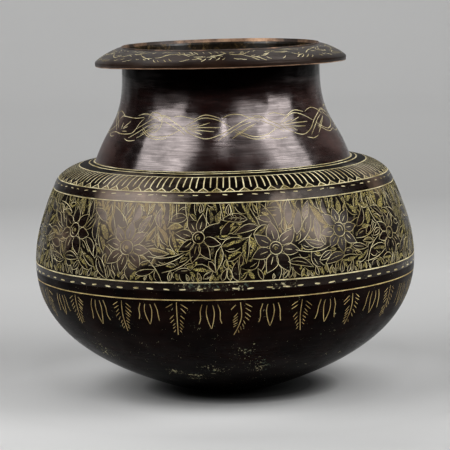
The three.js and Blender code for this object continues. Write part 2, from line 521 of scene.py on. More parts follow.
def fern(work, x, top, length, lean, rng):
    """A bent stem between two rows of barbs, which stand off it and close in on its tip."""
    bow = hand(rng, 1.2)
    stem = smooth([(x, top), (x + bow, top - length * 0.4), (x + lean * 0.4 + bow * 0.6, top - length * 0.72),
                   (x + lean, top - length)], 2.2)
    work.line(stem, 0.23, (0.6, 1.0))
    down = unit(np.gradient(stem, axis=0))
    places = np.linspace(0, 1, len(stem))
    for k in range(8):
        u = 0.05 + 0.77 * k / 7
        root, (dx, dy) = (np.array([np.interp(u, places, rows[:, i]) for i in (0, 1)])
                          for rows in (stem, down))
        for way in (-1, 1):
            if rng.random() < 0.07:
                continue
            away = way * math.radians(54 - 24 * u + hand(rng, 7))
            c, s = math.cos(away), math.sin(away)
            start = root + way * (2.9 - 2.1 * u + hand(rng, 0.25)) * np.array((-dy, dx))
            reach = (5.2 - 3.5 * u) * rng.uniform(0.8, 1.15)
            end = start + reach * np.array((c * dx - s * dy, s * dx + c * dy))
            work.line(smooth([start, end], 1.5), 0.2, (0.5, 0.7))


def tuft(work, x, top, length, rng):
    """An inner pair of strokes that closes like a drop, between two that bend outwards."""
    meet = hand(rng, 0.5)
    for way in (-1, 1):
        inner = [(x + way * 1.7, top), (x + way * 2.5, top - length * 0.28),
                 (x + way * 1.7 + meet * 0.4, top - length * 0.66), (x + meet + way * 0.15, top - length)]
        outer = [(x + way * 4.8, top + 0.5), (x + way * 6.2, top - length * 0.26),
                 (x + way * 6.2 + hand(rng, 0.3), top - length * 0.55),
                 (x + way * 7.1 + hand(rng, 0.5), top - length * 0.8 + hand(rng, 0.8))]
        work.line(smooth(inner, 2.0), 0.23, (0.6, 0.7))
        work.line(smooth(outer, 2.0), 0.23, (0.6, 0.8))


def pendants(work, top, seed=8):
    rng = np.random.default_rng(seed)
    for k in range(PENDANTS):
        x = work.place(k + 0.22, PENDANTS) + hand(rng, 1.2)
        fern(work, x, top - 1.7 - rng.uniform(0, 1.3), rng.uniform(20.5, 23.5), hand(rng, 5.0), rng)
        x = work.place(k + 0.72, PENDANTS) + hand(rng, 1.0)
        tuft(work, x, top - 3.2 - rng.uniform(0, 1.2), rng.uniform(14, 17), rng)


class Room:
    """Which places of a band are taken, on a grid of half a millimetre."""

    def __init__(self, work):
        self.work = work
        self.cell = 0.5
        self.w = int(2 * work.edge / self.cell)
        self.h = int((work.high - work.low) / self.cell)
        self.taken = np.zeros((self.h, self.w), bool)
        self.taken[:, :6] = self.taken[:, -6:] = True

    def cells(self, outline):
        """The rows and columns round an outline, and which of their cells lie inside it."""
        p = np.asarray(outline, float)
        (i0, j0), (i1, j1) = (((q - (-self.work.edge, self.work.low)) / self.cell).astype(int)
                              for q in (p.min(axis=0), p.max(axis=0)))
        i1, j1 = i1 + 1, j1 + 1
        if i0 < 2 or j0 < 1 or i1 > self.w - 2 or j1 > self.h - 1:
            return None
        x, y = np.meshgrid((np.arange(i0, i1) + 0.5) * self.cell - self.work.edge,
                           (np.arange(j0, j1) + 0.5) * self.cell + self.work.low)
        inside = np.zeros(x.shape, bool)
        for (ax, ay), (bx, by) in zip(p, np.roll(p, -1, axis=0)):
            if ay != by:
                inside ^= ((ay > y) != (by > y)) & (x < (bx - ax) * (y - ay) / (by - ay) + ax)
        return slice(j0, j1), slice(i0, i1), inside

    def free_places(self, reach, tries, every, rng):
        """Places that lie further than a reach from anything taken, found afresh every few tries."""
        for n in range(tries):
            if n % every == 0:
                free = ~self.taken
                for _ in range(int(reach / self.cell)):
                    inner = (free[1:-1, 1:-1] & free[:-2, 1:-1] & free[2:, 1:-1]
                             & free[1:-1, :-2] & free[1:-1, 2:])
                    free = np.zeros_like(free)
                    free[1:-1, 1:-1] = inner
                cells = np.argwhere(free)
                if not len(cells):
                    return
            row, col = cells[int(rng.integers(len(cells)))]
            yield (col + 0.5) * self.cell - self.work.edge, (row + 0.5) * self.cell + self.work.low

    def fits(self, outline, share):
        """Takes the cells of an outline, unless more than a share of them is taken already."""
        found = self.cells(outline)
        if found is None:
            return False
        rows, cols, inside = found
        if not inside.any() or (self.taken[rows, cols] & inside).sum() > share * inside.sum():
            return False
        self.taken[rows, cols] |= inside
        return True


def leaf_outline(at, angle, length, width, bend, grow):
    upper, lower, _ = leaf_sides(length + 2 * grow, width + 2 * grow, bend, 6)
    return turn(closed(upper, lower) - (grow, 0), angle, at)


def flower(work, room, at, rng):
    petals = int(rng.integers(7, 9))
    reach, ring, start = rng.uniform(14.5, 18.0), rng.uniform(3.6, 4.8), rng.uniform(0, TAU)
    work.patch(turn(arc((0, 0), ring, 0, 330, 11), start, at), PATINA)
    work.line(turn(arc((0, 0), ring, 0, 350, 18), start, at), 0.2, (0.9, 0.9))
    work.patch(turn(arc((0.1, 0.1), ring * 0.3, 0, 300, 6), start, at), GROUND)
    work.line(turn(arc((0, 0), ring * 0.55, 190, 330, 6), start, at), 0.19)
    room.fits(turn(arc((0, 0), ring + 1.0, 0, 330, 11), 0, at), 1)
    for k in range(petals):
        a = start + k * TAU / petals + hand(rng, 0.08)
        long = (reach - ring) * rng.uniform(0.88, 1.1)
        base = (at[0] + (ring + 0.3) * math.cos(a), at[1] + (ring + 0.3) * math.sin(a))
        wide = min(TAU * (ring + long * 0.42) / petals * 0.8, 6.8)
        u = np.linspace(0, 1, 9)
        half = 0.5 * wide * (0.4 * (1 - u) ** 2 + np.sin(math.pi * u ** 0.78) ** 0.95)
        half[-1] = 0
        bend = hand(rng, 1.0) * np.sin(math.pi * u)
        upper, lower = (turn(np.column_stack([u * long, bend + way * half]), a, base) for way in (1, -1))
        outline = np.vstack([lower, upper[::-1][1:]])
        if room.cells(outline) is None:
            continue
        room.fits(outline, 1)
        work.patch(outline, PATINA)
        for side in (upper, lower):
            if rng.random() < 0.88:
                work.line(side[:8] if rng.random() < 0.3 else side, 0.165, (0.5, 0.5))
        vein = turn([(long * 0.12, 0), (long * 0.32, bend[3] * 0.5), (long * 0.52, bend[4] * 0.8)], a, base)
        if rng.random() < 0.75:
            work.line(vein, 0.21)


# Length, width and tries of the leaves of the floral band, and of the matted specks between them
LEAVES = [(15, 5.4, 240), (12, 4.6, 420), (9.5, 3.9, 700), (7.2, 3.1, 900), (5.2, 2.3, 1100), (3.8, 1.7, 900)]
SPECKS = [(5.5, 1.7, 500), (3.6, 1.3, 800), (2.5, 1.0, 800)]


def centred(mid, length, angle):
    return (mid[0] - 0.5 * length * math.cos(angle), mid[1] - 0.5 * length * math.sin(angle))


def floral(work, low_edge, high_edge, first, seed=23):
    """Flowers, blades along both borders, and leaves and matted patches packed between them."""
    rng = np.random.default_rng(seed)
    room = Room(work)
    for y0, y1 in ((work.low, low_edge + 0.5), (high_edge - 0.5, work.high)):
        j0, j1 = (int((y - work.low) / room.cell) for y in (y0, y1))
        room.taken[j0:j1 + 1] = True
    centers = []
    for k in range(FLOWERS):
        x = work.place(k + 0.5, FLOWERS) + first + hand(rng, 2.0)
        y = (low_edge + high_edge) / 2 + (3.6 if k % 2 else -4.2) + hand(rng, 1.6)
        centers.append((x, y))
        flower(work, room, (x, y), rng)
    centers = np.array(centers)
    stems(work, room, centers, rng)
    borders(work, room, low_edge, high_edge, rng)
    for long, wide, tries in LEAVES:
        for mid in room.free_places(wide * 0.5, tries, 25, rng):
            dx, dy = min(mid - centers, key=lambda away: math.hypot(*away))
            flow = math.atan2(dy, dx) if math.hypot(dx, dy) < 24 else math.pi / 2
            length, width = long * rng.uniform(0.85, 1.15), wide * rng.uniform(0.85, 1.15)
            bend = hand(rng, 0.12) * length
            for lean in rng.permutation([0.0, 0.5, -0.5, 1.0, -1.0, 1.5]):
                angle = flow + lean + hand(rng, 0.15)
                at = centred(mid, length, angle)
                if room.fits(leaf_outline(at, angle, length, width, bend, 0.1), 0.02):
                    high = (mid[1] - low_edge) / (high_edge - low_edge)
                    foliage(work, (at, angle, length, width, bend), high, rng)
                    break
    for long, wide, tries in SPECKS:
        for mid in room.free_places(wide * 0.5, tries, 40, rng):
            angle = math.pi / 2 + hand(rng, 1.0)
            outline = leaf_outline(centred(mid, long, angle), angle, long, wide, hand(rng, 0.3), 0.15)
            if room.fits(outline, 0.05) and rng.random() < 0.6:
                work.patch(outline + rng.uniform(-0.15, 0.15, outline.shape), GROUND)


def foliage(work, shape, high, rng):
    """What stands in a leaf's place: a matted chip, more often higher up, a stroke, half a leaf or a leaf."""
    at, angle, length, width, bend = shape
    chance = rng.random()
    if chance < 0.38 + 0.18 * high:
        chip(work, at, angle, length, width * 0.9, bend, rng)
    elif length < 6:
        if chance < 0.7:
            work.line(turn(leaf_sides(length, width, bend, 4)[0], angle, at), 0.14)
    elif chance < 0.9 and length < 13:
        upper, lower, mid = (turn(side, angle, at) for side in leaf_sides(length, width, bend, 5))
        if chance < 0.66:
            work.patch(closed(upper, lower), PATINA)
        work.line(upper if rng.random() < 0.5 else lower, 0.16)
        if rng.random() < 0.35:
            work.line(mid[1:4], 0.15)
    else:
        ticks = 3 if length > 10 and rng.random() < 0.25 else 0
        leaf(work, at, angle, length, width, bend, 0.75 * (rng.random() < 0.5), ticks, 6 if length > 8 else 4)


def chip(work, at, angle, length, width, bend, rng):
    """A matted patch with cut corners. A wide one is matted on one side of its middle only."""
    upper, lower, mid = leaf_sides(length, width, bend, 4)
    side, other = (upper, lower) if rng.random() < 0.5 else (lower, upper)
    if width > 2.4 and rng.random() < 0.7:
        corners = closed(mid, side)
        work.line(turn(other, angle, at), 0.17)
    else:
        corners = closed(upper, lower)
    corners = corners + rng.uniform(-0.1, 0.1, corners.shape) * width
    work.patch(turn(corners, angle, at), GROUND)
    if rng.random() < 0.3:
        work.line(turn(side, angle, at), 0.18)


def borders(work, room, low_edge, high_edge, rng):
    """Matted wedges between dark blades along the top border, and short blades along the low one."""
    x = -work.edge + 5
    while x < work.edge - 5:
        reach = rng.uniform(5.0, 11.0)
        wide = rng.uniform(0.7, 1.6)
        lean = hand(rng, 3.0)
        root = high_edge - 0.5
        wedge = [(x - wide, root), (x + wide, root), (x + lean + 0.5, root - reach * 0.6),
                 (x + lean * 1.2, root - reach), (x + lean * 0.5 - wide * 0.5, root - reach * 0.5)]
        if room.fits(wedge, 0.2):
            work.patch(wedge, GROUND)
            if rng.random() < 0.7:
                side = rng.choice((-1, 1)) * (wide + 0.8)
                work.line(smooth([(x + side, root - 0.2), (x + side * 0.8 + lean * 0.6, root - reach * 0.5),
                                  (x + side * 0.2 + lean, root - reach - 1.2)], 1.6), 0.18)
        x += rng.uniform(4.6, 7.6)
    x = -work.edge + 5
    while x < work.edge - 5:
        reach = rng.uniform(3.2, 8.5)
        angle = math.pi / 2 + hand(rng, 0.75)
        at = (x, low_edge + 0.8)
        width = reach * rng.uniform(0.3, 0.42)
        if room.fits(leaf_outline(at, angle, reach, width, 0, 0.1), 0.1):
            if rng.random() < 0.3:
                chip(work, at, angle, reach, width, 0, rng)
            else:
                leaf(work, at, angle, reach, width, hand(rng, 0.5), 0.6 * (rng.random() < 0.5))
        x += rng.uniform(3.2, 6.4)


def stems(work, room, centers, rng):
    """Curved stalks that start between petals and run on through the leaves."""
    for x, y in np.repeat(centers, 3, axis=0):
        a = rng.uniform(0, TAU)
        curl = rng.choice((-1, 1)) * rng.uniform(0.3, 0.7)
        reaches = [(15 + 7.0 * k, a + curl * k / 3) for k in range(4)]
        line = smooth([(x + reach * math.cos(b), y + 0.8 * reach * math.sin(b)) for reach, b in reaches], 1.8)
        if room.fits(np.vstack([line + (0.5, -0.6), (line + (-0.5, 0.6))[::-1]]), 0.25):
            work.line(line, 0.2)


# The strands of one period of the garland, as places along it and above its middle
EYE_OVER = [(0.4, 0.5), (6, 4.4), (14, 7.4), (23, 5.4), (31.5, 0.9)]
EYE_UNDER = [(0.2, -0.5), (7, -4.6), (16, -7.6), (25, -4.4), (33, 0.6), (41, 4.8), (48, 6.6), (54, 5.6)]
SQUARE_OVER = [(-1, 0.4), (3, 5.2), (12, 6.0), (24, 5.8), (32, 6.4)]
SQUARE_UNDER = [(32.5, 6.2), (29, 1.5), (25, -4.6), (14, -6.2), (3, -6.0), (-5, -7.4)]
SQUARE_BUD = [(36, 5.6), (38, 9.6), (44, 10.2), (48, 7.0), (48.5, 1.0), (45, -3.4), (40, -3.0)]
OPEN_UNDER = [(33.5, -0.6), (39, -4.0), (46, -6.6), (55, -5.4), (63.5, -0.8)]
OPEN_OVER = [(46, 7.9), (52, 7.0), (58, 4.2), (64.5, 0.6), (69, -2.6)]
ROPE = [(23, -8.4), (30, -4.0), (38, 1.0), (45, 3.8)]
# Strands beside the others, each with its shift and half width
DOUBLES = [(ROPE, (0, 0), 0.2), (ROPE[1:], (3.6, -1.2), 0.2), (ROPE[:3], (8.5, 0.4), 0.19),
           (OPEN_UNDER[:4], (0.5, -1.9), 0.2), (OPEN_OVER[1:], (-1.8, -2.0), 0.2)]
CAPS = [[(26, 7.0), (31, 9.0), (37, 9.0), (44, 6.6), (50, 3.8)], [(57, 7.6), (62, 8.8), (68, 7.6), (73, 6.0)],
        [(19, -9.6), (24, -10.8), (30, -9.8)], [(56, -7.8), (61, -9.6), (68, -9.0)]]
EYE_VEINS = [[(3, 0.9), (11, 3.2)], [(10, 1.6), (18, 4.2)], [(3, 0.1), (12, 0.9), (25, 0.7)],
             [(3.4, -0.6), (14, -1.4), (21, -2.4)], [(6, -1.8), (10, -3.0), (13, -4.6)]]
SQUARE_VEINS = [[(9, -3.4), (9.6, 1.2)], [(11, -2.6), (19, 2.8)], [(12, -3.2), (17, -0.8)],
                [(12, -4.4), (18, -4.0)]]


def garland(work, mid, seed=3):
    """A loose rope of long crossing strands. Every third eye is a square with a bud beside it."""
    rng = np.random.default_rng(seed)
    for k in range(-1, GARLANDS):
        x0 = -work.edge + k * (2 * work.edge / GARLANDS) + 6.5
        tall = rng.uniform(0.94, 1.06)

        def strand(points, shift=(0, 0), half=0.22):
            placed = np.array([(x0 + shift[0] + x + hand(rng, 0.4),
                                mid + (shift[1] + y) * tall + hand(rng, 0.3)) for x, y in points])
            placed = placed[np.abs(placed[:, 0]) < work.edge - 1]
            if len(placed) > 1:
                work.line(smooth(placed, 1.7), half, (0.5, 0.5))

        square = k % 3 == 2
        strand(SQUARE_OVER if square else EYE_OVER)
        strand(SQUARE_UNDER if square else EYE_UNDER)
        strand(OPEN_UNDER)
        strand(OPEN_OVER)
        strand(EYE_UNDER[3:] if square else EYE_OVER[1:4], (1.2, 1.8))
        for double in DOUBLES:
            strand(*double)
        for cap in CAPS:
            if rng.random() < 0.85:
                strand(cap, half=0.21)
        if square:
            strand(SQUARE_BUD, half=0.24)
        for vein in SQUARE_VEINS if square else EYE_VEINS:
            strand(vein, half=0.23)


def rim_scroll(work, low, high, seed=9):
    """A broken waving stem with barbs on it, between two rows of short slanting strokes."""
    rng = np.random.default_rng(seed)
    mid = (low + high) / 2
    half_width = (high - low) / 2

    def stem(x):
        return mid + half_width * 0.36 * np.sin(14 * x / work.ref + 0.6)

    x = -work.edge + 1.0
    while x < work.edge - 15:
        long = rng.uniform(6.5, 13.5)
        xs = np.linspace(x, x + long, 9)
        bow = 0.9 * np.sin(np.linspace(0, math.pi * rng.uniform(0.8, 1.9), 9)) * rng.choice((-1, 1))
        work.line(np.column_stack([xs, stem(xs) + bow + hand(rng, 0.4)]), 0.25, (0.4, 0.4))
        for _ in range(int(rng.integers(1, 4))):
            root = rng.uniform(x + 1, x + long - 1)
            way = rng.choice((-1, 1))
            reach = rng.uniform(2.2, 4.2)
            tip = (root + reach, stem(root) + way * reach * rng.uniform(0.4, 0.9))
            work.line(smooth([(root, stem(root) + way * 0.7), tip]), 0.21, (0.5, 0.4))
        x += long * rng.uniform(0.95, 1.35)
    for way in (-1, 1):
        x = -work.edge + 3 - way
        while x < work.edge - 9:
            slant = way * rng.uniform(0.0, 0.9) * (1 if math.sin(7 * x / work.ref) > -0.3 else -1)
            for _ in range(int(rng.integers(1, 5))):
                reach = rng.uniform(2.6, 5.8)
                y = mid + way * half_width * rng.uniform(0.55, 0.9)
                start = (x, y - math.sin(slant) * reach / 2)
                tip = (x + reach * math.cos(slant), y + math.sin(slant) * reach / 2)
                bow = ((start[0] + tip[0]) / 2, (start[1] + tip[1]) / 2 + 0.45 * way)
                work.line(smooth([start, bow, tip]), 0.23, (0.35, 0.45))
                x += rng.uniform(3.0, 5.2)
            x += rng.uniform(2.0, 7.0)


# Materials

class Look:
    """The nodes of a material or of the world. A value is a number, a colour or a node's output."""

    def __init__(self, owner):
        owner.use_nodes = True
        self.owner = owner
        self.tree = owner.node_tree

    def put(self, value, socket):
        if isinstance(value, bpy.types.NodeSocket):
            self.tree.links.new(value, socket)
        elif socket.type == "RGBA":
            socket.default_value = (*color(value), 1)
        else:
            socket.default_value = value

    def node(self, kind, inputs=(), **settings):
        made = self.tree.nodes.new(kind)
        for key, value in settings.items():
            setattr(made, key, value)
        for key, value in dict(inputs).items():
            self.put(value, made.inputs[key])
        return made.outputs

    def finish(self, shader="Principled BSDF", **inputs):
        """Sets inputs of the shader, with underscores in their names for spaces."""
        for key, value in inputs.items():
            self.put(value, self.tree.nodes[shader].inputs[key.replace("_", " ")])
        return self.owner

    def place(self):
        return self.node("ShaderNodeTexCoord")["Object"]

    def stretched(self, scale=1):
        """Places whose pattern is made finer in height."""
        return self.node("ShaderNodeMapping", {"Vector": self.place(), "Scale": (1, 1, scale)})[0]

    def noise(self, places, scale, detail=3.0, rough=0.55, distortion=0.0):
        return self.node("ShaderNodeTexNoise", {"Vector": places, "Scale": scale, "Detail": detail,
                                                "Roughness": rough, "Distortion": distortion})["Fac"]

    def ramp(self, value, *stops):
        made = self.tree.nodes.new("ShaderNodeValToRGB")
        self.put(value, made.inputs["Fac"])
        elements = made.color_ramp.elements
        while len(elements) < len(stops):
            elements.new(0.5)
        for element, (place, tone) in zip(elements, stops):
            element.position = place
            element.color = (*color(tone), 1)
        return made.outputs["Color"]

    def mix(self, share, a, b, blend="MIX"):
        return self.node("ShaderNodeMix", {0: share, 6: a, 7: b}, data_type="RGBA", blend_type=blend)[2]

    def product(self, a, b):
        return self.mix(1.0, a, b, "MULTIPLY")

    def math(self, operation, a, b=0.0):
        return self.node("ShaderNodeMath", {0: a, 1: b}, operation=operation)[0]

    def span(self, value, low, high, top=1.0):
        """A share that goes from 0 to its top as a value goes from low to high."""
        return self.node("ShaderNodeMapRange", {"Value": value, "From Min": low, "From Max": high,
                                                "To Max": top})[0]

    def distance(self, point):
        return self.node("ShaderNodeVectorMath", {0: self.place(), 1: point}, operation="DISTANCE")["Value"]

    def near(self, point, reach):
        """How near a place is to a point, in metres, from 1 there to 0 at the reach."""
        return self.span(self.distance(point), reach, 0.0)

    def bump(self, height, distance, strength):
        return self.node("ShaderNodeBump", {"Height": height, "Distance": distance,
                                            "Strength": strength})["Normal"]

    def spread(self, plain, spots, scale=13, gain=0.36):
        """A ragged cloud that is strongest near a few places."""
        cloud = self.noise(plain, scale, 6, 0.66, 0.7)
        for point, reach in spots:
            cloud = self.math("ADD", cloud, self.math("MULTIPLY", self.near(point, reach), gain))
        return cloud

    # A share for patches that are rougher and lighter: partly wear, partly a painted sheen near the given
    # spots
    def rub_and_sheen_share(self, plain, spots, share):
        return self.ramp(self.spread(plain, spots), (0.62, 0), (0.84, share))

    def waxed(self, share, tone, gloss, rough, tint=(1, 0.88, 0.77), **inputs):
        """The wax over a skin: its gloss, which rubbing brings up to one level and roughness everywhere."""
        return self.finish(Base_Color=tone, Specular_IOR_Level=self.mix(share, gloss, 0.44),
                           Roughness=self.mix(share, rough, 0.42), IOR=2.1, Specular_Tint=tint, **inputs)

    def by_height(self, low, high, ragged=7):
        """A share that grows from 0 to 1 between two heights, with streaks up to a height, in millimetres."""
        height = self.node("ShaderNodeSeparateXYZ", {0: self.place()})["Z"]
        cloud = self.math("ADD", self.noise(self.stretched(6), 22, 5, 0.7), -0.5)
        height = self.math("ADD", height, self.math("MULTIPLY", cloud, 4 * ragged * MM))
        return self.span(height, low * MM, high * MM)


def color(value):
    return value if isinstance(value, tuple) else (value, value, value)


def named(name):
    return Look(bpy.data.materials.new(name))


def patina(name, dark, light, wear_and_sheen_tone, share, rough=(0.2, 0.34), gloss=0.5, rub_and_sheen_spots=(), stains=(), brushed=1.0,
           painted_shade=None, dull=(), tint=(1, 0.87, 0.855)):
    """Dark patina: clouds, wear with painted sheen, turning marks, stains, dull spots, painted shade towards
    a height.
    """
    look = named(name)
    plain, rings = look.stretched(), look.stretched(7)
    low, high = rough
    body = look.ramp(look.noise(plain, 26, 4, 0.6, 0.4), (0.32, dark), (0.7, light))
    # Rougher, lighter patches: wear, with a painted sheen in their colour near the given spots
    patches = look.rub_and_sheen_share(plain, rub_and_sheen_spots, share)
    mottle = look.ramp(look.noise(plain, 75, 5, 0.7), (0.36, 0.62), (0.64, 1.45))
    body = look.mix(patches, body, look.product(mottle, wear_and_sheen_tone))
    body = look.product(body, look.ramp(look.noise(rings, 42, 5, 0.62), (0.34, 0.6), (0.68, 1.4)))
    level = look.ramp(look.noise(rings, 60, 6, 0.7), (0.32, low), (0.7, high))
    cloud = look.noise(look.stretched(2), 55, 5, 0.65, 0.5)
    shine = look.ramp(cloud, (0.36, gloss * 0.62), (0.64, gloss * 1.22))
    if brushed > 1:
        fine = look.noise(look.stretched(24), 55, 4, 0.6)
        shine = look.product(shine, look.ramp(fine, (0.36, 0.66), (0.64, 1.3)))
    for point, reach in dull:
        spot = look.near(point, reach)
        level = look.mix(spot, level, high)
        shine = look.mix(spot, shine, gloss * 0.02)
    # Painted shade: towards the given height the skin is darker and less glossy
    if painted_shade:
        shade_share = look.by_height(*painted_shade)
        body = look.mix(shade_share, body, (0.0009, 0.0005, 0.0004))
        level = look.mix(shade_share, level, 0.13)
        shine = look.mix(shade_share, shine, gloss * 0.07)
    if stains:
        specks = look.ramp(look.spread(plain, stains, 600, 0.135), (0.665, 0), (0.7, 0.95))
        kind = look.ramp(look.noise(plain, 110, 2), (0.43, (0.07, 0.1, 0.075)), (0.52, (0.55, 0.5, 0.3)))
        body = look.mix(specks, body, kind)
        level = look.mix(specks, level, 0.7)
    dents = look.math("MULTIPLY", look.noise(plain, 38, 2, 0.4), 5.0 * brushed)
    marks = look.math("MULTIPLY", look.noise(rings, 60, 2, 0.5), 0.7)
    return look.waxed(patches, body, shine, level, tint,
                      Normal=look.bump(look.math("ADD", dents, marks), 0.00022, 0.45))


def cut_metal(name, bright, dull, rub_and_sheen_spots=(), wear_and_sheen_tone=(0.2, 0.14, 0.08)):
    look = named(name)
    plain = look.stretched()
    tone = look.ramp(look.noise(plain, 75, 5, 0.7), (0.38, dull), (0.6, bright))
    # Near the spots of wear and painted sheen the lines take another tone
    share = look.rub_and_sheen_share(plain, rub_and_sheen_spots, 0.2)
    return look.waxed(share, look.mix(share, tone, wear_and_sheen_tone), 0.12, 0.5)


def matted(name, bright, dull, dark, rub_and_sheen_spots, wear_and_sheen_tone=(0.3, 0.205, 0.09)):
    """Ground that was punched all over, bright on its ridges."""
    look = named(name)
    plain = look.stretched()
    dots = look.ramp(look.noise(plain, 1500, 2, 0.5), (0.45, 0), (0.59, 1))
    tone = look.ramp(look.noise(plain, 90, 4, 0.65), (0.36, dull), (0.64, bright))
    # Near the spots of wear and painted sheen the ground takes another tone
    share = look.rub_and_sheen_share(plain, rub_and_sheen_spots, 0.7)
    tone = look.mix(share, look.mix(dots, dark, tone), wear_and_sheen_tone)
    return look.waxed(share, tone, 0.1, 0.5, Normal=look.bump(dots, 0.00025, 0.5))


def matt_black(name, rub_and_sheen_spots, wear_and_sheen_tone=(0.105, 0.069, 0.047)):
    """The blackened ground of the ornament, lighter where the skin around it is: partly wear, partly painted
    sheen.
    """
    look = named(name)
    plain = look.stretched()
    tone = look.ramp(look.noise(plain, 300, 4, 0.6),
                     (0.36, (0.001, 0.0008, 0.0006)), (0.7, (0.007, 0.004, 0.0026)))
    share = look.rub_and_sheen_share(plain, rub_and_sheen_spots, 0.65)
    return look.waxed(share, look.mix(share, tone, wear_and_sheen_tone), 0.012, 0.5)


def worn_copper(name, spots):
    """Bare copper where hands rub, with the patina left between."""
    look = named(name)
    plain = look.stretched()
    share = look.ramp(look.spread(plain, spots, 38, 0.3), (0.5, 0.03), (0.7, 1))
    tone = look.ramp(look.noise(plain, 150, 4, 0.6), (0.3, (0.16, 0.08, 0.043)), (0.66, (0.55, 0.34, 0.21)))
    return look.finish(Base_Color=look.mix(share, (0.03, 0.018, 0.013), tone),
                       Metallic=look.mix(share, 0.2, 0.6), Roughness=0.4)


def inner(name, sheen_spots):
    look = named(name)
    plain = look.stretched()
    tone = look.ramp(look.noise(plain, 170, 7, 0.75, 0.6),
                     (0.42, (0.003, 0.002, 0.001)), (0.56, (0.02, 0.012, 0.005)), (0.7, (0.2, 0.125, 0.045)))
    sheen = look.ramp(look.spread(plain, sheen_spots, 60, 0.3), (0.56, 0.05), (0.8, 0.25))
    return look.finish(Base_Color=tone, Specular_IOR_Level=sheen, IOR=2.1, Roughness=0.36,
                       Normal=look.bump(look.noise(plain, 240, 4, 0.6), 0.0004, 0.6))


def spots(*rows):
    """Places on the pot's skin in metres, each with a reach, from rows of angle, radius, height and reach."""
    turns = [(math.radians(azimuth), r, z, reach) for azimuth, r, z, reach in rows]
    return [((r * math.sin(a) * MM, -r * math.cos(a) * MM, z * MM), reach) for a, r, z, reach in turns]


# Spots on the belly that are rougher and lighter: partly wear, partly a painted sheen at the side lamps'
# reflections
RUBS_AND_SHEEN = spots((-33, 121, 120, 0.042), (-22, 118, 130, 0.034), (22, 118, 130, 0.026), (30, 121, 120, 0.019),
             (-60, 122, 112, 0.03), (62, 110, 142, 0.03), (118, 120, 120, 0.05), (-112, 120, 118, 0.05),
             (178, 120, 122, 0.05), (-40, 108, 145, 0.029))
# Spots on the neck that are rougher and lighter: partly wear, partly a painted sheen beside the lamps'
# reflections
NECK_RUBS_AND_SHEEN = spots((-74, 82, 170, 0.055), (68, 82, 176, 0.055), (178, 76, 180, 0.05))
NECK_DULL = spots((1, 83, 155, 0.03), (1, 83, 157, 0.016), (15, 83, 157, 0.022), (-62, 84, 160, 0.02))
RIM_RUBS = spots((167, 65, 230, 0.034), *((a, 84, 220, 0.014 - 0.003 * (a > 10)) for a in range(-84, 90, 10)))
STAINS = spots(*((a, 126, 88, 0.013) for a in (-10, -4, 4, 16, 70, 150, -120)))
BOWL_STAINS = spots((-24, 86, 25, 0.009), (-15, 81, 22, 0.011), (-5, 90, 27, 0.012), (13, 94, 30, 0.014),
                    (6, 108, 42, 0.01), (-50, 104, 38, 0.014), (95, 96, 33, 0.02), (170, 90, 28, 0.02),
                    (-120, 100, 36, 0.02))
INNER_SHEEN = spots((-154, 64, 227, 0.016), (156, 64, 227, 0.023))

line_metal = cut_metal("engraved_brass", (0.93, 0.84, 0.54), (0.4, 0.32, 0.13), RUBS_AND_SHEEN)
pendant_metal = cut_metal("pendant_brass", (0.76, 0.6, 0.27), (0.34, 0.23, 0.08))
ground_metal = matted("matted_brass", (0.6, 0.5, 0.145), (0.19, 0.15, 0.045), (0.01, 0.008, 0.006), RUBS_AND_SHEEN)
black = matt_black("blackened_recess", RUBS_AND_SHEEN)
copper = worn_copper("worn_copper", RIM_RUBS)
inner_metal = inner("inner_brown", INNER_SHEEN)
belly_patina = patina("belly_patina", (0.0025, 0.0015, 0.0011), (0.012, 0.0055, 0.004), (0.13, 0.08, 0.052),
                      0.72, gloss=0.075, rub_and_sheen_spots=RUBS_AND_SHEEN, stains=STAINS, tint=(1, 0.88, 0.79),
                      dull=spots((2, 113, 141, 0.03)))
# Painted shade: the bowl is darker and less glossy towards its bottom
bowl_patina = patina("bowl_patina", (0.0004, 0.0002, 0.0001), (0.0092, 0.0035, 0.0025), (0.02, 0.011, 0.008),
                     0.05, rough=(0.28, 0.42), gloss=0.009, stains=BOWL_STAINS, painted_shade=(55, 5))
# Painted shade: the neck is darker and less glossy up under the rim
neck_patina = patina("neck_patina", (0.003, 0.0009, 0.0007), (0.017, 0.005, 0.004), (0.058, 0.029, 0.024),
                     0.75, rough=(0.1, 0.25), gloss=0.52, rub_and_sheen_spots=NECK_RUBS_AND_SHEEN, brushed=1.4, painted_shade=(196, 211),
                     dull=NECK_DULL)
rim_patina = patina("rim_patina", (0.008, 0.004, 0.0028), (0.025, 0.013, 0.008), (0.08, 0.045, 0.028), 0.3,
                    rough=(0.28, 0.4), gloss=0.065, dull=spots((0, 79, 226, 0.035)), tint=(1, 0.85, 0.76))
solder = cut_metal("brazing_metal", (0.3, 0.22, 0.11), (0.1, 0.07, 0.04))


# Outlines of the pot, as in the CAD

def cone_height(r):
    return SHOULDER_FLAT[1] + (SHOULDER_FLAT[0] - r) * CONE


bowl_line = joined(
    bezier(BASE, polar(BASE, 8, 9), polar(HEEL, 200, 9), HEEL),
    bezier(HEEL, polar(HEEL, 20, 56), (WIDEST[0], 50), WIDEST),
)
belly_line = joined(
    bowl_line,
    bezier(WIDEST, (WIDEST[0], 112), polar(SHOULDER_BREAK, -69.5, 5), SHOULDER_BREAK),
    bezier(SHOULDER_BREAK, polar(SHOULDER_BREAK, 110.5, 5), polar(SHOULDER_FLAT, -13, 7), SHOULDER_FLAT),
)
FOOT = (85, cone_height(85) + 0.05)
neck_line = joined(
    bezier(FOOT, polar(FOOT, 109, 24.5), (THROAT[0], 180.97), THROAT),
    straight(THROAT, (THROAT[0], MOUTH)),
)

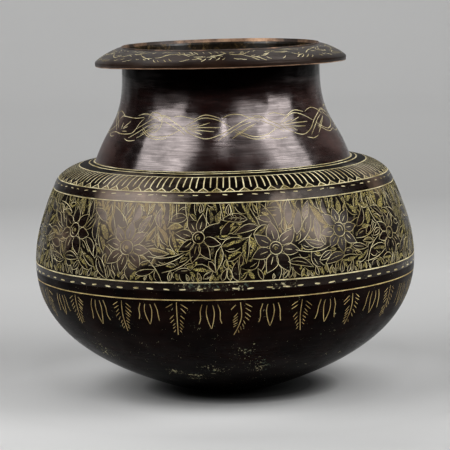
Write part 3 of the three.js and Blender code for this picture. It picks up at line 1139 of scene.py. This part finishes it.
# Lower bowl
ledge = SEAM - 0.02
bowl_out = clipped(bowl_line, 0, ledge)
tongue = clipped(belly_line, ledge, 91.4) - (TONGUE_INSET, 0)
tongue_back = tongue - (BOWL_WALL, 0)
tongue_back[0, 1] = ledge - BOWL_WALL
bowl_in = offset(bowl_out, BOWL_WALL)
bowl_in = bowl_in[bowl_in[:, 1] < ledge - 2 * BOWL_WALL]
bowl = Shell()
bowl_path = Path(joined(straight((2, 0), BASE), bowl_out))
pendant_low = bowl_path.at_height(45)
bowl.plain(Path(straight((0, 0), (2, 0))), step=2)
bowl.plain(bowl_path, 0, pendant_low)
work = Engraving(bowl_path, pendant_low, bowl_path.length, 122)
pendant_ring = bowl_path.at_height(PENDANT_RING)
work.ring(pendant_ring, 0.32, 0.35, 41)
pendants(work, pendant_ring)
work.build(bowl)
bowl.plain(Path(straight(bowl_out[-1], tongue[0])), step=2)
bowl.plain(Path(tongue))
bowl.plain(Path([tongue[-1], tongue_back[-1]]), label=INSIDE)
bowl.plain(Path(tongue_back[::-1]), label=INSIDE)
bowl.plain(Path(joined([tongue_back[0]], bowl_in[::-1])), label=INSIDE, step=5)
bowl.plain(Path(straight(bowl_in[0], (0, bowl_in[0][1] - 1.0))), label=INSIDE, step=8)

# Upper belly and shoulder
belly = Shell()
belly_out = clipped(belly_line, SEAM, SHOULDER_FLAT[1])
belly_path = Path(joined(belly_out, straight(SHOULDER_FLAT, (83.0, cone_height(83.0)))))
y_break = belly_path.at_height(140.9)
y_low, y_high = belly_path.at_height(FLORAL_LOW), belly_path.at_height(FLORAL_HIGH)
work = Engraving(belly_path, 0, y_break, 122)
work.blacken(y_low + 0.2, y_high - 0.2)
work.ring(y_low, 0.36, 0.4, 51)
work.ring(y_high, 0.3, 0.25, 52)
dash_row(work, belly_path.at_height(LOW_DASHES), LOW_DASH_COUNT, 4.3, 0.47, 61)
floral(work, y_low, y_high, 7.0)
work.build(belly)
shoulder_end = belly_path.length - 1.5
work = Engraving(belly_path, y_break, shoulder_end, 102)
flute_low = belly_path.at_radius(FLUTE_LOW, y_break - 1)
flute_high, shoulder_ring, foot_ring = (belly_path.at_radius(r, y_break)
                                        for r in (FLUTE_HIGH, SHOULDER_RING, FOOT_RING))
dash_row(work, y_break + 2.3, HIGH_DASH_COUNT, 3.2, 0.3, 62)
work.ring(flute_low, 0.3, 0.25, 53)
work.ring(flute_high, 0.4, 0.2, 54)
work.ring(shoulder_ring, 0.48, 0.25, 55)
work.ring(foot_ring, 0.52, 0.1, 56)
work.blacken(flute_high, foot_ring)
flutes(work, flute_high, flute_low)
work.build(belly)
collar_face = clipped(neck_line, FOOT[1], FOOT[1] + 6) - (COLLAR_INSET, 0)
collar_face[0, 1] = cone_height(collar_face[0, 0])
collar_back = collar_face - (BELLY_WALL, 0)
collar_back[0, 1] = cone_height(collar_back[0, 0]) - BELLY_WALL
belly.plain(Path(straight(tuple(map(float, belly_path.at(shoulder_end))), collar_face[0])), step=2)
belly.plain(Path(collar_face))
belly.plain(Path([collar_face[-1], collar_back[-1]]), label=INSIDE)
belly.plain(Path(collar_back[::-1]), label=INSIDE)
belly_in = offset(belly_out, BELLY_WALL)
belly_in[0] = (belly_out[0][0] - BELLY_WALL, SEAM)
belly.plain(Path(joined([collar_back[0]], belly_in[::-1])), label=INSIDE, step=5)
belly.plain(Path(straight(belly_in[0], belly_out[0])), step=2)

# Neck
neck = Shell()
neck_out = neck_line[neck_line[:, 1] < 230.05]
mouth_edge = (65.3, 230.55)
bevel_foot = (64.5, 227.0)
neck_path = Path(joined(neck_out, arc((65.6, 230.12), 0.4, 0, 90, 6), [mouth_edge]))
garland_low, garland_high = neck_path.at_height(GARLAND_LOW), neck_path.at_height(GARLAND_HIGH)
mouth_top = neck_path.at_height(229.4)
neck.plain(neck_path, 0, garland_low)
work = Engraving(neck_path, garland_low, garland_high, 72)
garland(work, neck_path.at_height(GARLAND))
work.build(neck, step=3.0)
neck.plain(neck_path, garland_high, mouth_top)
neck.plain(neck_path, mouth_top, step=0.3, label=WORN)
bevel_path = Path(straight(mouth_edge, bevel_foot))
neck.plain(bevel_path, 0, 2.2, step=0.6, label=WORN)
neck.plain(bevel_path, 2.2, step=1, label=INSIDE)
neck_in = neck_line[neck_line[:, 1] < 226.9] - (NECK_WALL, 0)
neck_in[0, 1] = cone_height(neck_in[0, 0]) + 0.05
neck.plain(Path(joined([bevel_foot], neck_in[::-1])), label=INSIDE)
neck.plain(Path(straight(neck_in[0], neck_out[0])), step=2)

# Rim collar, with a lip that is worn bare along its lowest edge
rim = Shell()
top_line = bezier(RIM_EDGE, (71.03, 229.52), polar(RIM_ARRIS, 138, 5), RIM_ARRIS)
under_line = offset(top_line, -COLLAR_WALL)
under_line[0] = (RIM_EDGE[0], RIM_EDGE[1] - COLLAR_WALL)
under_line = under_line[under_line[:, 0] < 82.0]
lip = joined(arc((82.95, 220.5), 0.65, 200, 330, 8), arc((83.0, 222.3), 0.7, 0, 44, 6))
rim.plain(Path(joined(under_line, [(82.3, 221.0)], lip[:1])), step=3)
lip_path = Path(lip)
rim.plain(lip_path, 0, 0.9, step=0.5)
rim.plain(lip_path, 0.9, 1.8, step=0.5, label=WORN)
rim.plain(lip_path, 1.8, step=0.5)
rim_path = Path(joined(lip[-1:], top_line[top_line[:, 0] < lip[-1][0] - 0.3][::-1]))
rim.plain(rim_path, 0, 0.35, step=0.2)
work = Engraving(rim_path, 0.35, rim_path.length, 76)
rim_scroll(work, 2.6, rim_path.length - 2.6)
work.build(rim, step=3.0)
rim.plain(Path(straight(RIM_EDGE, under_line[0])), step=1)


def bead(*corners):
    """A closed ring of brazing metal with a hollow outer face."""
    shell = Shell()
    a, b, c = (np.asarray(p, float) for p in corners)
    mid = (b + c) / 2 * 0.72 + a * 0.28
    shell.plain(Path([a, b]), step=3)
    shell.plain(Path(bezier(b, b * 0.4 + mid * 0.6, c * 0.4 + mid * 0.6, c, 6)), step=0.7)
    shell.plain(Path([c, a]), step=3)
    return shell


low = 91.45
r = float(np.interp(low, belly_line[:, 1], belly_line[:, 0])) - 1.52
belly_bead = bead((r, low), (r, low + 2.4), (r - 2.4, low))
low = FOOT[1] + 6.05
r = float(np.interp(low, neck_line[:, 1], neck_line[:, 0])) - 1.54
neck_bead = bead((r, low), (r - 0.5, low + 2.2), (r - 2.2, low))
rim_bead = bead((RIM_EDGE[0], 228.42), (RIM_EDGE[0], 225.6), (68.8, 228.1))

pieces = {
    "bowl_shell": (bowl, bowl_patina, ["lower_bowl"], "dark_patina"),
    "belly_shell": (belly, belly_patina, ["upper_belly"], "dark_patina"),
    "neck_shell": (neck, neck_patina, ["neck"], "dark_patina"),
    "rim_shell": (rim, rim_patina, ["rim_collar"], "rim_patina"),
    "belly_seam_bead": (belly_bead, solder, ["belly_braze"], "braze"),
    "neck_seam_bead": (neck_bead, solder, ["neck_braze"], "braze"),
    "rim_seam_bead": (rim_bead, solder, ["rim_braze"], "braze"),
}
for name, (shell, skin, nodes, slot_name) in pieces.items():
    lines = pendant_metal if shell is bowl else line_metal
    piece = shell.make(name, [skin, lines, ground_metal, copper, inner_metal, black])
    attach(piece, "root")
    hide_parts(*nodes)
    print(name, len(piece.data.polygons), "faces")


# Stage, light and camera. Places and reaches are in metres, and lamps in millimetres and watts.

# Tones of the floor by distance behind the pot: painted light and shade, darker just behind the pot
FLOOR_TONES = [(-1.0, 0.85), (-0.3, 0.85), (-0.14, 0.9), (0.18, 0.75), (0.47, 0.85), (0.72, 0.795),
               (1.03, 0.67), (1.5, 0.74), (2.29, 0.85), (2.7, 0.88)]
# How the floor in front of the pot is dimmed for all but the camera, as in a dark studio
MIRRORED_FRONT = [(-1.0, 0.07), (-0.55, 0.3), (-0.3, 1.0)]
# Soft shades beside the pot: place, reach and depth
SIDE_SHADES = [((0.19, 0.0, 0), 0.2, 0.22), ((0.1, -0.2, 0), 0.16, 0.16)]
# Shade under the pot by distance from a point near its axis
CONTACT = (0.009, 0.0015, 0)
CONTACT_TONES = [(0.03, 0.05), (0.046, 0.1), (0.057, 0.42), (0.067, 0.86), (0.11, 0.93), (0.17, 0.77),
                 (0.25, 0.75)]
# Tint of the paper, the levels of the far floor and the world as the camera sees them, and the world's
# level for all else
PAPER = (1, 1, 0.994)
FAR_FLOOR, FAR_WORLD, WORLD = 0.44, 0.45, 0.014


def toned(look, value, tones):
    """A tone that follows a list of values and tones."""
    first, last = tones[0][0], tones[-1][0]
    stops = [((place - first) / (last - first), tone) for place, tone in tones]
    return look.ramp(look.span(value, first, last), *stops)


def paper(name):
    """Pale paper with painted light and shade. Far in front and to the sides, out of the lamps' reach, it
    glows for the camera.
    """
    look = named(name)
    place = look.node("ShaderNodeSeparateXYZ", {0: look.place()})
    seen = look.node("ShaderNodeLightPath")["Is Camera Ray"]
    tone = toned(look, place["Y"], [(y, tuple(level * share for share in PAPER)) for y, level in FLOOR_TONES])
    tone = look.product(tone, look.mix(seen, toned(look, place["Y"], MIRRORED_FRONT), 1))
    for point, wide, depth in SIDE_SHADES:
        shade = look.math("ADD", look.math("MULTIPLY", look.near(point, wide), -depth), 1.0)
        tone = look.product(tone, shade)
    reach = CONTACT_TONES[-1][0]
    contact = look.ramp(look.math("MULTIPLY", look.distance(CONTACT), 1 / reach),
                        *((r / reach, level) for r, level in CONTACT_TONES))
    aside = look.math("MAXIMUM", look.math("ABSOLUTE", place["X"]), look.math("MULTIPLY", place["Y"], -0.8))
    glow = look.math("MULTIPLY", look.span(aside, 0.75, 2.2, FAR_FLOOR), seen)
    return look.finish(Base_Color=look.product(tone, contact), Roughness=0.9, Specular_IOR_Level=0.1,
                       Emission_Color=PAPER, Emission_Strength=glow)


def sweep():
    """A floor that curves up into a backdrop."""
    profile = joined([(-6000, 0), (2200, 0)], arc((2200, 900), 900, -90, 0, 24), [(3100, 6000)])
    xs = np.linspace(-6000, 6000, 13)
    n = len(xs)
    verts = [(x * MM, y * MM, z * MM) for y, z in profile for x in xs]
    firsts = [i * n + j for i in range(len(profile) - 1) for j in range(n - 1)]
    mesh = bpy.data.meshes.new("sweep")
    mesh.from_pydata(verts, [], [(k, k + 1, k + 1 + n, k + n) for k in firsts])
    mesh.polygons.foreach_set("use_smooth", [True] * len(mesh.polygons))
    mesh.materials.append(paper("pale_floor"))
    obj = linked("sweep", mesh)


sweep()


def area_light(name, azimuth, elevation, distance, size, power, aim=(0, 0, 130)):
    """A soft lamp round the pot. The azimuth is 0 towards the camera and grows to the right."""
    a, e = math.radians(azimuth), math.radians(elevation)
    place = Vector((math.sin(a) * math.cos(e), -math.cos(a) * math.cos(e), math.sin(e))) * distance
    data = bpy.data.lights.new(name, "AREA")
    data.shape = "RECTANGLE"
    data.size, data.size_y = size[0] * MM, size[1] * MM
    data.energy = power
    lamp = linked(name, data)
    lamp.location = (place + Vector(aim)) * MM
    lamp.rotation_euler = place.to_track_quat("Z", "Y").to_euler()


area_light("soft_left", -63, 38, 1500, (1260, 1020), 13.5)
area_light("low_left", -60, 14, 1500, (1200, 420), 0.4)
area_light("soft_front", 36, 27, 1500, (950, 640), 4.2)
area_light("high_front", 36, 44, 1500, (950, 420), 2.4)
area_light("soft_right", 70, 31.5, 1500, (800, 1220), 11.2)
area_light("strip_front", 1.5, 44.5, 1600, (75, 420), 1.8)
area_light("overhead", 180, 58, 2830, (2600, 2600), 8, aim=(0, 0, 0))
area_light("backdrop_wash", 0, 58, 3000, (3000, 600), 34, aim=(0, 2900, 0))

world = bpy.data.worlds.new("studio")
bpy.context.scene.world = world
look = Look(world)
seen = look.node("ShaderNodeLightPath")["Is Camera Ray"]
look.finish("Background", Color=look.mix(seen, WORLD, FAR_WORLD))

# The camera was fitted to the outline and the rings, with its focal length in pixels of a 450 pixel frame
FOCAL_PIXELS, FRAME_PIXELS = 2644.2, 450
PITCH, ROLL = 90 - 7.522, -1.441
camera = bpy.data.cameras.new("camera")
camera.sensor_width = 36
camera.lens = 36 * FOCAL_PIXELS / FRAME_PIXELS
camera.shift_x = 0.0012
camera.clip_end = 50
view = linked("camera", camera)
turned = Matrix.Rotation(math.radians(PITCH), 4, "X") @ Matrix.Rotation(math.radians(ROLL), 4, "Z")
view.matrix_world = Matrix.Translation((0, -1.7562, 0.3411)) @ turned
bpy.context.scene.camera = view
bpy.context.scene.view_settings.view_transform = "Standard"
